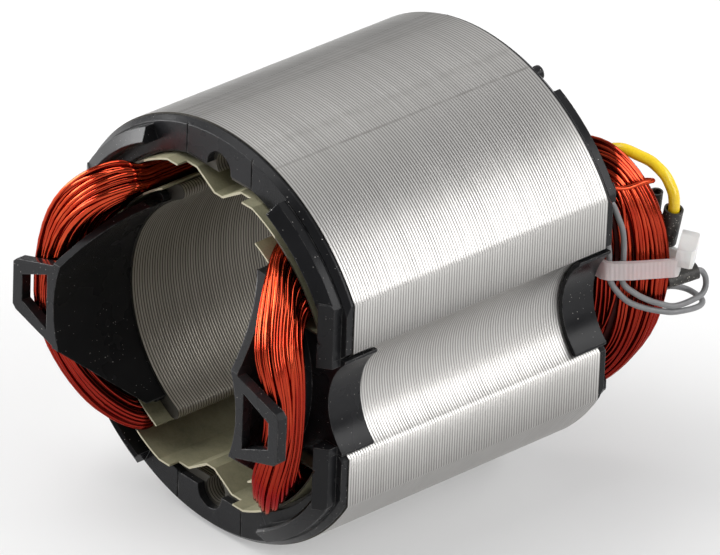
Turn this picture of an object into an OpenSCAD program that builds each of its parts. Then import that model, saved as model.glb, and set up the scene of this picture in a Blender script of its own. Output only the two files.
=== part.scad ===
// Field stator of a two-pole universal motor.
// The motor axis runs along Y, the poles lie on the left and right, and +Z is up.
// The origin is on the bore axis, at the middle of the lamination stack.

/* [Lamination stack] */
// Length of the stack along the motor axis
stack_length = 65; // [50:1:90]
// Diameter of the round part of the stack
stack_diameter = 87.3; // [86:0.1:92]
// Width across the two side flats
flat_width = 75.3; // [74:0.1:79]
// Diameter of the bore that the armature turns in
bore_diameter = 52.4; // [49:0.1:53]
// Angle that one pole face spans round the bore
pole_angle = 124; // [116:1:128]
// Thickness of a pole shoe towards its tips
shoe_thickness = 3; // [2.5:0.1:3.4]
// Width of a pole neck between its two slots
neck_width = 28.8; // [26:0.1:30]
// Depth of a slot from the back of a pole shoe to the yoke
slot_depth = 6.7; // [6:0.05:7.2]
// How far the yoke's inner flats stand in from the slot circle
yoke_flat_rise = 2.2; // [1.5:0.1:3]
// Height of a side groove
groove_height = 23.2; // [18:0.1:25]
// Depth of a side groove
groove_depth = 5.8; // [4:0.1:6.2]
// Diameter of a screw channel
channel_diameter = 5.4; // [4.2:0.1:5.6]
// Metal left outside a screw channel
channel_cover = 5.15; // [4.7:0.05:5.6]

/* [End frames] */
// Thickness of the base plate
plate_thickness = 1.7; // [1.2:0.1:2]
// Height of the straight edge under the base plate's chamfer
plate_edge = 0.6; // [0.3:0.1:1]
// Width of the chamfer round the base plate
plate_chamfer = 1; // [0.5:0.1:1.4]
// How far the frame's outline stays inside the stack's outline
frame_inset = 0.25; // [0.1:0.05:0.5]
// How far the base plate stays back from the slots
window_gap = 0.6; // [0.4:0.1:0.9]
// Thickness of a coil retaining wall
wall_thickness = 3.2; // [2.4:0.1:3.4]
// Gap between the slots and a wall
wall_gap = 2.85; // [2.6:0.05:3.2]
// Height of the wall's outer edge above the stack
wall_outer_height = 3.7; // [3:0.1:5]
// Height of the wall's inner edge above the stack
wall_inner_height = 5.5; // [5:0.1:7]
// Angle from the pole axis to the far end of a wall
wall_end_angle = 63; // [58:1:66]
// Height of the opening between the front walls of one side
front_wall_gap = 17.6; // [16:0.1:26]
// Height of the opening between the rear walls of one side
rear_wall_gap = 40; // [36:1:44]
// How far a groove tongue reaches along the stack
tongue_length = 6.4; // [4:0.1:9]
// Thickness of a groove tongue
tongue_thickness = 1.2; // [0.8:0.1:1.6]
// Margin between a tongue's edge and the groove's edge
tongue_margin = 1.2; // [0.6:0.1:2]
// How far a pole shield stands back from the pole face
shield_inset = 0.45; // [0.3:0.05:0.7]
// Thickness of a pole shield
shield_thickness = 1.7; // [1.4:0.1:2]
// Angle of a pole tip that the frames leave bare
bare_tip_angle = 7; // [4:0.5:9]
// How far the full width of a shield reaches before its taper
shield_skirt = 5; // [3:0.1:7]
// Height of a hook at its root
hook_root_height = 18.8; // [16:0.1:20]
// Height of a hook at its outer end
hook_tip_height = 11.2; // [8:0.1:12]
// Distance from the motor axis to the outer end of a front hook
hook_radius = 38.7; // [37:0.1:39.5]
// Thickness of a hook along the motor axis
hook_thickness = 2.2; // [1.8:0.1:3]
// Width of a hook's bars
hook_bar = 2.7; // [2.2:0.1:3]

/* [Slot liners] */
// Thickness of the fibre sheet
liner_thickness = 0.4; // [0.2:0.05:0.5]
// How far a liner stands out of the slots at each end
liner_overhang = 4; // [2.5:0.1:4.2]
// Angle that a liner reaches past the end of a pole face
liner_flap_angle = 1; // [0:0.5:1.5]
// How far the tent stands out of the stack at each end
tent_overhang = 1.6; // [1:0.1:2.2]
// Width of the tent at its foot
tent_width = 12.4; // [10:0.1:14]
// Width of the tent's flat crest
tent_crest = 2; // [1:0.1:3]
// Height of the tent
tent_height = 3.7; // [2.5:0.1:4.5]

/* [Field coils] */
// How far the coils stand out past the front of the stack under the hooks
front_overhang = 17; // [15:0.1:20]
// How far the coils stand out past the rear of the stack
rear_overhang = 18.8; // [16:0.1:19]
// Angle from the pole axis to the far edge of a coil in its slots
coil_slot_angle = 58.5; // [56:0.5:60]
// Angle from the pole axis to the far edge of a coil's end turns
coil_edge_angle = 64; // [61:0.5:65]
// How far the front coil ends spread outward past the slots
front_spread = 2.4; // [0.5:0.05:2.8]
// How far the rear coil ends spread outward past the slots
rear_spread = 3.75; // [2:0.05:4]
// How much thinner a coil end is next to the stack than at its crown
coil_wedge = 4; // [2:0.1:4.4]
// Depth of the valleys between the bundled turns
strand_depth = 0.35; // [0.1:0.05:0.5]
// Diameter of the winding wire
wire_diameter = 1; // [0.6:0.05:1.2]

/* [Leads] */
// Diameter of the yellow lead
yellow_diameter = 2.3; // [1.8:0.1:2.5]
// Diameter of the grey leads
grey_diameter = 1.2; // [1:0.1:1.3]
// Outer diameter of the yellow lead's sleeve
sleeve_diameter = 3.9; // [3.7:0.1:4]
// Outer diameter of the grey lead's sleeve
grey_sleeve_diameter = 3.4; // [3:0.1:3.5]
// Outer diameter of the coil tail's sleeve
tail_sleeve_diameter = 2.6; // [2.4:0.1:3]
// Wall of the sleeves
sleeve_wall = 0.4; // [0.3:0.05:0.5]
// Width of the cable tie's strap
tie_width = 3.6; // [2.5:0.1:3.8]
// Thickness of the cable tie's strap
tie_thickness = 1.1; // [0.8:0.05:1.2]

/* [Hidden] */
$fn = 96;

// Small distances shared by the fits
fit_gap = 0.15;
overlap = 0.5;

// Stack values
half_length = stack_length / 2;
stack_r = stack_diameter / 2;
half_flat = flat_width / 2;
bore_r = bore_diameter / 2;
half_pole = pole_angle / 2;
shoe_r = bore_r + shoe_thickness;
slot_r = shoe_r + slot_depth;
yoke_flat = slot_r - yoke_flat_rise;
channel_r = channel_diameter / 2;
channel_height = stack_r - channel_cover - channel_r;
groove_r = (pow(groove_height / 2, 2) + pow(groove_depth, 2)) / (2 * groove_depth);
groove_centre = half_flat - groove_depth + groove_r;

// Frame values
shield_r = bore_r + shield_inset;
shield_outer_r = shield_r + shield_thickness;
shield_half_width = shield_r * sin(half_pole - bare_tip_angle);
plate_back_r = shoe_r - frame_inset;
plate_pole_angle = half_pole - bare_tip_angle - asin((plate_back_r - shield_r) / (plate_back_r + shield_r));
front_hook_start = front_overhang + 2 * fit_gap;
front_reach = front_hook_start + hook_thickness;
rear_reach = rear_overhang + 4 * fit_gap;
wall_inner_r = slot_r + wall_gap;
wall_outer_r = wall_inner_r + wall_thickness;
wall_step = stack_r - half_flat;
wall_bend_angle = acos((wall_inner_r - wall_step) / wall_inner_r);
notch_r = channel_r + window_gap + fit_gap;
wall_bevel = 0.6;
hook_step = 0.3;
hook_nip = 0.9;
seam_x = 9.3;
seam_width = 0.3;
boss_r = 1.5;
boss_x = 13;

// Liner values
liner_out_r = slot_r - fit_gap;
liner_in_r = shoe_r + fit_gap;
liner_neck = neck_width / 2 + fit_gap;
liner_flat = yoke_flat - fit_gap;
liner_free_angle = half_pole + liner_flap_angle;
tent_step_x = seam_x;
tent_lean = 0.7;

// Coil values
coil_slot_out = liner_out_r - liner_thickness - 2 * fit_gap;
coil_slot_in = liner_in_r + liner_thickness + 3 * fit_gap;
coil_mid_r = (coil_slot_out + coil_slot_in) / 2;
coil_end_in = shield_outer_r + tie_thickness + 7 * fit_gap;
coil_inner_angle = asin((liner_neck + liner_thickness + 4 * fit_gap) / coil_slot_in);
front_end_r = coil_slot_out + front_spread;
rear_end_r = coil_slot_out + rear_spread;
coil_lift = 3.5;
spread_length = 3.3;
coil_inner_reach = plate_thickness + coil_lift;
spread_start = coil_inner_reach;
spread_end = spread_start + spread_length;
crown = 90;
coil_ring_angles = [for (i = [0 : 18]) 10 * i];
coil_points = 44;
inner_boxiness = 6;
section_boxiness = 6;
// End turns: bulge beside the hooks, fullness of the upper and lower half, flare of the upper half
// and the angle by which the upper half stays narrower
right_front = [5.5, 1.5, 1.35, 0, 6];
left_front = [0.6, 2.8, 1.6, 1.3, 0];
right_rear = [0, 1.95, 2.3, 0, 8];
left_rear = [0, 2.3, 2.3, 0, 0];
// Angles between which the hooks let the coils bulge, and the flare grows
bulge_angles = [15, 25];
flare_angles = [8, 34];
flare_length = 10;
// Part of the end loop over which a coil widens as it leaves its slots
widen_angle = 25;

// Hand chosen routes of the leads, with Y counted from the rear of the stack
yellow_route = [
    [33.9, 20.8, 7.7], [34.3, 20.8, 9.6], [34.7, 20.8, 11.8], [34.6, 20.7, 14.5], [33.8, 20.6, 16.3],
    [32.5, 20, 18.6], [30.3, 19, 20.5], [29.2, 18.3, 21.2], [28.1, 17.5, 21.7], [25.4, 15.5, 22.8],
    [23.2, 14.3, 22.3], [20.9, 12.7, 21.2], [18.6, 10.6, 21.1], [16.4, 8.2, 22.6], [14.4, 5.7, 24.6]
];
inner_grey_route = [
    [30.2, 3.9, 21], [32.9, 5.7, 17.5], [33.9, 6.6, 14.5], [34.5, 7.4, 11.6], [34.9, 7.6, 8],
    [35, 7.5, 4.3], [35.5, 7.2, 0.5], [36.7, 9.4, -2.1], [37.2, 13, -4.8], [38, 15.6, -6.2],
    [38.4, 18.2, -7.4], [38.4, 21, -7.9], [38, 24.3, -8.2], [37.5, 27, -8.2], [37, 28.4, -7],
    [36.6, 28.5, -5.2], [36.3, 27.7, -3.8], [36, 26.5, -3.4], [35.7, 25.2, -3.6]
];
outer_grey_route = [
    [32.7, 3, 16.6], [34, 3.5, 12.3], [34.1, 4.4, 7.5], [34.1, 4.6, 5.2], [34.8, 4.7, 1.1],
    [36, 7.2, -2.8], [36.5, 9.9, -5], [37, 12.9, -6.7], [38, 15.7, -7.8], [38.6, 18.1, -8.6],
    [38.7, 21.3, -9.3], [38.6, 24, -9.8], [38, 26.3, -10.2], [36.7, 28, -10.4], [34.9, 28.3, -10.1],
    [33.3, 27.4, -9.3], [32.4, 25.6, -8.4], [32, 23.5, -7.7], [31.9, 21.3, -7.4]
];
// Binding turn: wire diameters out from the coil's outer radius, angle, and share of the coil's overhang
binding_turn = [
    [-1.4, 33.1, 0.31], [-1, 32.2, 0.37], [-0.4, 31, 0.47], [0.2, 30.7, 0.58], [0.3, 30.5, 0.7],
    [-0.6, 29.8, 0.88], [-2.8, 30.2, 0.91], [-5.3, 30.7, 0.91]
];
lead_ref = [0.6, 0.3, 0.75];

// Sleeve ends, with Y counted from the coil's rear end: where a lead goes in and where the wire leaves
yellow_mouth = [34.7, 2, 11.8];
yellow_tail = [33.15, 2, 3.9];
tail_mouth = [30.4, 1.3, 14];
tail_tail = [29.1, 1.7, 4.1];
grey_mouth = [36, 7.7, -3.4];
grey_tail = [34.3, 1.4, -4.2];
crimp_length = 3.5;

// Cable tie values
tie_tilt = -10;
tie_stand = 9.5;
tie_rise = 3.3;
tie_slack = 1.4;
tie_front_nip = 4.5;
tie_waist = [2.5, -1.8];
tie_rear_nip = [2.6, 3.4];
tie_middle = [0, half_length + tie_stand, tie_rise];
tie_in = shield_outer_r + fit_gap;
tie_out = rear_end_r + tie_thickness + fit_gap;
tie_front = (half_length + plate_thickness + 4 * fit_gap - tie_middle[1]) / cos(tie_tilt);
tie_rear = (half_length + rear_overhang - tie_middle[1]) / cos(tie_tilt) + tie_thickness + tie_slack;
tie_corner = 2;
tie_path = [
    [tie_in - fit_gap, tie_front], [tie_out - tie_front_nip, tie_front],
    [tie_out - tie_waist[0], tie_waist[1]], [tie_out, tie_rear - tie_rear_nip[1]],
    [tie_out - tie_rear_nip[0], tie_rear], [tie_in, tie_rear]
];
tie_head = [3.5, 5.2, 5.8];
tie_head_slope = [2.9, 2.2];
tie_head_nip = 0.6;
tie_head_rise = 0.5;

// Stands a flat outline up and pulls it along the motor axis, centred on the stack
module along_axis(length) {
    rotate([90, 0, 0]) linear_extrude(length, center = true) children();
}

// Puts what is drawn outward from a stack face on the front or the rear of the stack
module on_front() {
    translate([0, -half_length, 0]) rotate([90, 0, 0]) children();
}

module on_rear() {
    mirror([0, 1, 0]) on_front() children();
}

// Stack outline with its flats and side grooves
module stack_outline() {
    difference() {
        intersection() {
            circle(stack_r);
            square([flat_width, stack_diameter], center = true);
        }
        for (side = [-1, 1]) translate([side * groove_centre, 0]) circle(groove_r);
    }
}

// Both poles: necks, shoes and rounded tips, down to the given bore
module poles(face_r, back_r, neck_half, half_angle) {
    tip_r = (back_r - face_r) / 2;
    far = 2 * stack_r;
    difference() {
        union() {
            square([2 * (slot_r + overlap), 2 * neck_half], center = true);
            intersection() {
                circle(back_r);
                for (side = [-1, 1])
                    polygon([[0, 0], [side * far * cos(half_angle), far * sin(half_angle)],
                             [side * far, far * sin(half_angle)], [side * far, -far * sin(half_angle)],
                             [side * far * cos(half_angle), -far * sin(half_angle)]]);
            }
            for (a = [half_angle, 180 - half_angle, 180 + half_angle, -half_angle])
                rotate(a) translate([face_r + tip_r, 0]) circle(tip_r, $fn = 24);
        }
        circle(face_r);
    }
}

// Opening inside the yoke, before the poles are put in
module yoke_opening(grow, flat_grow) {
    intersection() {
        circle(slot_r + grow);
        square([2 * stack_r, 2 * (yoke_flat + flat_grow)], center = true);
    }
}

module screw_channels(r) {
    for (side = [-1, 1]) translate([0, side * channel_height]) circle(r, $fn = 48);
}

// Packed sheets with two poles, the bore, side grooves and two screw channels
module lamination_stack() {
    color("silver") along_axis(stack_length) difference() {
        stack_outline();
        difference() {
            yoke_opening(0, 0);
            poles(bore_r, shoe_r, neck_width / 2, half_pole);
        }
        screw_channels(channel_r);
    }
}

// Shell sector that lies in a side groove
module tongue_outline(outer_gap) {
    for (side = [-1, 1]) intersection() {
        translate([side * groove_centre, 0]) difference() {
            circle(groove_r - outer_gap);
            circle(groove_r - tongue_thickness);
        }
        translate([side * half_flat / 2, 0])
            square([half_flat - 2 * frame_inset, groove_height - 2 * tongue_margin], center = true);
    }
}

// Outline of a frame's base plate, with the slots and screw channels open
module plate_outline() {
    difference() {
        union() {
            difference() {
                square([2 * (half_flat - frame_inset), stack_diameter], center = true);
                for (side = [-1, 1]) translate([side * groove_centre, 0]) circle(groove_r + frame_inset);
            }
            tongue_outline(-overlap);
        }
        difference() {
            yoke_opening(window_gap, 3 * window_gap);
            poles(shield_r, plate_back_r, neck_width / 2 - window_gap, plate_pole_angle);
        }
        for (side = [-1, 1]) translate([0, side * channel_height]) {
            circle(notch_r, $fn = 48);
            translate([0, -side * notch_r]) square([2 * notch_r, 2 * notch_r], center = true);
        }
    }
}

// Section of the base plate, swept round the motor axis
module plate_section() {
    edge_r = stack_r - frame_inset;
    polygon([[0, 0], [edge_r, 0], [edge_r, plate_edge], [edge_r - plate_chamfer, plate_thickness],
             [0, plate_thickness]]);
}

// Section of a coil retaining wall, with its top sloping up towards the coil
module wall_section() {
    polygon([[wall_inner_r, 0], [wall_outer_r, 0], [wall_outer_r, wall_outer_height],
             [wall_inner_r + wall_bevel, wall_inner_height],
             [wall_inner_r, wall_inner_height - wall_bevel]]);
}

// Where walls stand: outside the opening at the groove and short of the top and bottom
module wall_zone(gap) {
    far = 2 * stack_r;
    for (side = [-1, 1], up = [-1, 1])
        polygon([[side * far, up * gap / 2], [0, up * gap / 2], [0, 0],
                 [side * far * cos(wall_end_angle), up * far * sin(wall_end_angle)],
                 [side * far, up * far * sin(wall_end_angle)]]);
}

// Walls that follow the stack's outline: round at the top and bottom, straight beside the flats
module walls() {
    far = 2 * stack_r;
    bend_height = wall_outer_r * sin(wall_bend_angle);
    difference() {
        rotate_extrude() wall_section();
        translate([0, 0, -overlap]) linear_extrude(wall_inner_height + 2 * overlap)
            for (side = [-1, 1])
                polygon([[0, 0], [side * far, far * tan(wall_bend_angle)],
                         [side * far, -far * tan(wall_bend_angle)]]);
    }
    intersection() {
        for (turn = [0, 180])
            rotate(turn) rotate([90, 0, 0]) linear_extrude(2 * bend_height, center = true)
                translate([-wall_step, 0]) wall_section();
        cylinder(r = wall_outer_r, h = wall_inner_height);
    }
}

// Shields along both pole faces, tapering to the hooks
module shields(reach) {
    root = hook_root_height / 2;
    intersection() {
        difference() {
            cylinder(r = shield_outer_r, h = reach);
            translate([0, 0, -overlap]) cylinder(r = shield_r, h = reach + 2 * overlap);
        }
        rotate([90, 0, 90]) linear_extrude(2 * stack_r, center = true)
            polygon([[-shield_half_width, 0], [shield_half_width, 0], [shield_half_width, shield_skirt],
                     [root, reach], [-root, reach], [-shield_half_width, shield_skirt]]);
    }
}

// Trapezoid loop that turns out over the end of a coil
module hook(side) {
    root = hook_root_height / 2;
    tip = hook_tip_height / 2;
    start = shield_r * cos(asin(root / shield_r)) + hook_step;
    inner_x = shield_outer_r + hook_step;
    outer_x = hook_radius - hook_bar;
    inner_half = root - hook_bar - 2 * hook_step;
    outer_half = tip - hook_bar;
    mirror([side < 0 ? 1 : 0, 0, 0]) difference() {
        polygon([[start, -root], [hook_radius - hook_nip, -tip], [hook_radius, hook_nip - tip],
                 [hook_radius, tip - hook_nip], [hook_radius - hook_nip, tip], [start, root]]);
        circle(shield_r);
        polygon([[inner_x, -inner_half], [outer_x, -outer_half], [outer_x, outer_half],
                 [inner_x, inner_half]]);
    }
}

// Base plate, walls, tongues and shields that both frames have
module frame_body(reach, gap) {
    intersection() {
        union() {
            rotate_extrude() plate_section();
            intersection() {
                walls();
                linear_extrude(wall_inner_height) wall_zone(gap);
            }
        }
        linear_extrude(wall_inner_height) plate_outline();
    }
    translate([0, 0, -tongue_length]) linear_extrude(tongue_length + plate_edge) tongue_outline(fit_gap);
    shields(reach);
}

// Fine mould seams beside the two screw notches
module mould_seams() {
    for (x = [-seam_x, seam_x], up = [-1, 1])
        translate([x - seam_width / 2, up > 0 ? yoke_flat : -stack_r, plate_thickness - seam_width])
            cube([seam_width, stack_r - yoke_flat, 2 * seam_width]);
}

module front_end_frame() {
    color("#232427") on_front() {
        difference() {
            frame_body(front_reach, front_wall_gap);
            mould_seams();
        }
        for (side = [-1, 1]) translate([0, 0, front_hook_start]) linear_extrude(hook_thickness) hook(side);
    }
}

module rear_end_frame() {
    color("#232427") on_rear() {
        difference() {
            frame_body(rear_reach, rear_wall_gap);
            mould_seams();
        }
        for (x = [-boss_x, boss_x], up = [-1, 1])
            translate([x, up * (sqrt(pow(wall_outer_r, 2) - x * x) - boss_r), plate_edge])
                cylinder(r = boss_r, h = wall_outer_height - plate_edge, $fn = 32);
    }
}

// Arc of points round the motor axis
function arc(r, from, to, steps) =
    [for (i = [0 : steps]) let (a = from + (to - from) * i / steps) [r * cos(a), r * sin(a)]];

// Right half of a liner's path, from its free edge behind the shoe to the top
function liner_half_path(inset) =
    let (
        in_r = liner_in_r + inset,
        out_r = liner_out_r - inset,
        neck = liner_neck + inset,
        flat = liner_flat - inset
    )
    concat(
        arc(in_r, liner_free_angle, asin(neck / in_r), 10),
        arc(out_r, asin(neck / out_r), asin(flat / out_r), 14),
        [[tent_step_x, flat]]
    );

function reversed(list) = [for (i = [len(list) - 1 : -1 : 0]) list[i]];

// One slot's lining up to the step beside the tent
module liner_slot() {
    polygon(concat(liner_half_path(0), reversed(liner_half_path(liner_thickness))));
}

// Folded tent between the two slots, over the screw channel
module liner_tent() {
    top = liner_flat;
    low = top - tent_height;
    foot = tent_width / 2;
    crest = tent_crest / 2;
    slope = liner_thickness * tent_lean;
    polygon([[tent_step_x, top], [foot, top], [crest, low + liner_thickness],
             [-crest, low + liner_thickness], [-foot, top], [-tent_step_x, top],
             [-tent_step_x, top - liner_thickness], [-foot - slope, top - liner_thickness],
             [-crest - slope, low], [crest + slope, low],
             [foot + slope, top - liner_thickness], [tent_step_x, top - liner_thickness]]);
}

// Fibre sheet through both slots of the upper or the lower side
module slot_liner(up) {
    mirror([0, 0, up > 0 ? 0 : 1]) {
        along_axis(stack_length + 2 * liner_overhang) {
            liner_slot();
            mirror([1, 0]) liner_slot();
        }
        along_axis(stack_length + 2 * tent_overhang) liner_tent();
    }
}

module upper_slot_liner() {
    color("#8d8f6b") slot_liner(1);
}

module lower_slot_liner() {
    color("#8d8f6b") slot_liner(-1);
}

// Keeps a number's sign while raising its size to a power
function signed_power(x, p) = sign(x) * pow(abs(x), p);

// Eases from 0 to 1 between two heights
function ease(h, from, to) = let (t = min(1, max(0, (h - from) / (to - from)))) t * t * (3 - 2 * t);

// Inner and outer radius of the winding at a height above the stack
function coil_in_r(h) = coil_slot_in + (coil_end_in - coil_slot_in) * ease(h, spread_start, spread_end);
function coil_out_r(h, end_r) = coil_slot_out + (end_r - coil_slot_out) * ease(h, spread_start, spread_end);

// Point of an end loop: angle round the motor axis and height above the stack
function loop_point(angle, reach, boxiness, a) =
    [angle * signed_power(cos(a), 2 / boxiness), reach * signed_power(sin(a), 2 / boxiness)];

// One section of the winding, a rounded bundle with valleys between its turns
function coil_section(a, overhang, end_r, turn, side) =
    let (
        edge = coil_edge_angle - (a < crown ? turn[4] : 0),
        widen = (edge - coil_slot_angle) * ease(min(a, 2 * crown - a), 0, widen_angle),
        inner = loop_point(coil_inner_angle, coil_inner_reach, inner_boxiness, a),
        free = loop_point(coil_slot_angle + widen, overhang + turn[0], a < crown ? turn[1] : turn[2], a),
        held = (1 - ease(abs(free[0]), bulge_angles[0], bulge_angles[1])) * max(0, free[1] - overhang),
        outer = [free[0], free[1] - held],
        flare = a < crown ? turn[3] * ease(free[0], flare_angles[0], flare_angles[1]) : 0,
        span = norm([(outer[0] - inner[0]) * coil_mid_r * PI / 180, outer[1] - inner[1]]) / 2
    )
    [for (j = [0 : coil_points - 1])
        let (
            b = 360 * j / coil_points,
            round_off = pow(pow(abs(cos(b)), section_boxiness) + pow(abs(sin(b)), section_boxiness),
                            -1 / section_boxiness),
            valley = j % 2 == 0 ? 0 : strand_depth,
            part = 0.5 + 0.5 * round_off * cos(b) * (1 - valley / span),
            angle = inner[0] + (outer[0] - inner[0]) * part,
            h = max(0, inner[1] + (outer[1] - inner[1]) * part),
            wedge = coil_wedge * (1 - part) * pow(sin(a), 3),
            flared = flare * ease(h, spread_start, spread_start + flare_length),
            out_r = coil_out_r(h, end_r) - wedge + flared,
            middle = (coil_in_r(h) + out_r) / 2,
            half = (out_r - coil_in_r(h)) / 2,
            r = middle + (half - valley) * round_off * sin(b)
        )
        [r * cos(angle), side * (half_length + h), r * sin(angle)]];

// Side faces of a tube made of rings, with caps or joined end to end
function ring_faces(rings, n, closed) =
    [for (i = [0 : rings - (closed ? 1 : 2)], j = [0 : n - 1], half = [0, 1])
        let (
            a = i * n + j,
            b = i * n + (j + 1) % n,
            c = ((i + 1) % rings) * n + (j + 1) % n,
            d = ((i + 1) % rings) * n + j
        )
        half == 0 ? [a, b, c] : [a, c, d]];

// Saddle shaped winding on the right pole
module field_coil(front_turn, rear_turn) {
    front = [for (a = coil_ring_angles) coil_section(a, front_overhang, front_end_r, front_turn, -1)];
    rear = [for (a = reversed(coil_ring_angles))
        coil_section(a, rear_overhang, rear_end_r, rear_turn, 1)];
    rings = concat(front, rear);
    points = [for (ring = rings, p = ring) p];
    polyhedron(points, ring_faces(len(rings), coil_points, true));
}

module right_field_coil() {
    color("#a8261c") field_coil(right_front, right_rear);
}

module left_field_coil() {
    color("#a8261c") mirror([1, 0, 0]) field_coil(left_front, left_rear);
}

function unit(v) = v / norm(v);

// Round lead along a route that is counted from the rear of the stack
module lead(route, diameter) {
    sides = 8;
    last = len(route) - 1;
    rings = [for (i = [0 : last])
        let (
            along = unit(route[min(i + 1, last)] - route[max(i - 1, 0)]),
            across = unit(cross(along, lead_ref)),
            rise = cross(along, across)
        )
        [for (j = [0 : sides - 1])
            route[i] + diameter / 2 * (cos(360 * j / sides) * across + sin(360 * j / sides) * rise)]];
    points = [for (ring = rings, p = ring) p];
    caps = [[for (j = [sides - 1 : -1 : 0]) j], [for (j = [0 : sides - 1]) last * sides + j]];
    translate([0, half_length, 0]) polyhedron(points, concat(ring_faces(last + 1, sides, false), caps));
}

// Wire across the right coil's rear end
module coil_binding_turn() {
    color("#b8301f") lead(
        [for (p = binding_turn) let (r = rear_end_r + p[0] * wire_diameter)
            [r * cos(p[1]), p[2] * rear_overhang, r * sin(p[1])]],
        wire_diameter);
}

module yellow_lead() {
    color("#e6c019") lead(yellow_route, yellow_diameter);
}

module inner_grey_lead() {
    color("#8a898d") lead(inner_grey_route, grey_diameter);
}

module outer_grey_lead() {
    color("#8a898d") lead(outer_grey_route, grey_diameter);
}

// Puts the Z axis on the way from one sleeve end to the other, behind the coil's rear end
module towards(from, to) {
    way = to - from;
    translate([0, half_length + rear_overhang, 0]) translate(from)
        rotate([0, acos(way[2] / norm(way)), atan2(way[1], way[0])]) children();
}

// Open braided sleeve between two points
module sleeve(mouth, tail, diameter) {
    length = norm(tail - mouth);
    towards(mouth, tail) difference() {
        cylinder(d = diameter, h = length, $fn = 48);
        translate([0, 0, -overlap])
            cylinder(d = diameter - 2 * sleeve_wall, h = length + 2 * overlap, $fn = 48);
    }
}

module yellow_lead_sleeve() {
    color("#26241f") sleeve(yellow_mouth, yellow_tail, sleeve_diameter);
}

module coil_tail_sleeve() {
    color("#26241f") sleeve(tail_mouth, tail_tail, tail_sleeve_diameter);
}

module grey_lead_sleeve() {
    color("#26241f") sleeve(grey_mouth, grey_tail, grey_sleeve_diameter);
}

// Tinned ferrule in a sleeve's bore, at the tail end
module crimp(mouth, tail, diameter) {
    bore = diameter - 2 * sleeve_wall - 2 * fit_gap;
    towards(tail, mouth) translate([0, 0, overlap]) difference() {
        cylinder(d = bore, h = crimp_length - overlap, $fn = 32);
        translate([0, 0, -overlap]) cylinder(d = wire_diameter + fit_gap, h = crimp_length / 2, $fn = 32);
    }
}

module yellow_lead_crimp() {
    color("#c9c4b4") crimp(yellow_mouth, yellow_tail, sleeve_diameter);
}

module coil_tail_crimp() {
    color("#c9c4b4") crimp(tail_mouth, tail_tail, tail_sleeve_diameter);
}

module grey_lead_crimp() {
    color("#c9c4b4") crimp(grey_mouth, grey_tail, grey_sleeve_diameter - 2 * fit_gap);
}

// A corner of a closed outline: its point, the ways to its neighbours and half its angle
function corner(path, i) =
    let (
        n = len(path),
        back = unit(path[(i + n - 1) % n] - path[i]),
        ahead = unit(path[(i + 1) % n] - path[i])
    )
    [path[i], back, ahead, acos(back * ahead) / 2];

// Outline moved in by a distance
function moved_in(path, d) =
    [for (i = [0 : len(path) - 1]) let (c = corner(path, i)) c[0] + unit(c[1] + c[2]) * d / sin(c[3])];

// Outline with every corner rounded
function rounded(path, r, steps) =
    [for (i = [0 : len(path) - 1], k = [0 : steps])
        let (
            c = corner(path, i),
            centre = c[0] + unit(c[1] + c[2]) * r / sin(c[3]),
            from = unit(c[0] + c[1] * r / tan(c[3]) - centre),
            to = unit(c[0] + c[2] * r / tan(c[3]) - centre),
            turn = acos(from * to)
        )
        centre + r * (from * sin(turn * (1 - k / steps)) + to * sin(turn * k / steps)) / sin(turn)];

// Locking head with a sloping top and nipped outer corners
module tie_head_block() {
    intersection() {
        rotate([90, 0, 90]) linear_extrude(tie_head[0])
            polygon([[0, 0], [tie_head[1], 0], [tie_head[1], tie_head[2]], [tie_head_slope[0], tie_head[2]],
                     [0, tie_head[2] - tie_head_slope[1]]]);
        linear_extrude(tie_head[2])
            polygon([[0, 0], [tie_head[0] - tie_head_nip, 0], [tie_head[0], tie_head_nip],
                     [tie_head[0], tie_head[1] - tie_head_nip], [tie_head[0] - tie_head_nip, tie_head[1]],
                     [0, tie_head[1]]]);
    }
}

// Strap loop round the coil end and the leads, with its head on the outer rear corner
module cable_tie() {
    from = tie_path[3];
    way = unit(tie_path[4] - from);
    middle = (from + tie_path[4]) / 2;
    color("#e4ddd8") translate(tie_middle) rotate([tie_tilt, 0, 0]) {
        translate([0, 0, -tie_width / 2]) linear_extrude(tie_width) difference() {
            polygon(rounded(tie_path, tie_corner, 6));
            polygon(rounded(moved_in(tie_path, tie_thickness), tie_corner - tie_thickness, 6));
        }
        translate([middle[0], middle[1], tie_head_rise]) rotate([0, 0, atan2(way[1], way[0]) - 90])
            translate([-tie_thickness, -tie_head[1] / 2, 0]) tie_head_block();
    }
}

lamination_stack();
front_end_frame();
rear_end_frame();
upper_slot_liner();
lower_slot_liner();
left_field_coil();
right_field_coil();
coil_binding_turn();
yellow_lead();
inner_grey_lead();
outer_grey_lead();
yellow_lead_sleeve();
coil_tail_sleeve();
grey_lead_sleeve();
yellow_lead_crimp();
coil_tail_crimp();
grey_lead_crimp();
cable_tie();
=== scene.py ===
# Looks of a motor stator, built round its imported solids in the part's own frame, with sizes in millimetres.
import math
import random
from collections import namedtuple

import bpy
from mathutils import Matrix, Vector
from mathutils.geometry import tessellate_polygon


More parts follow.
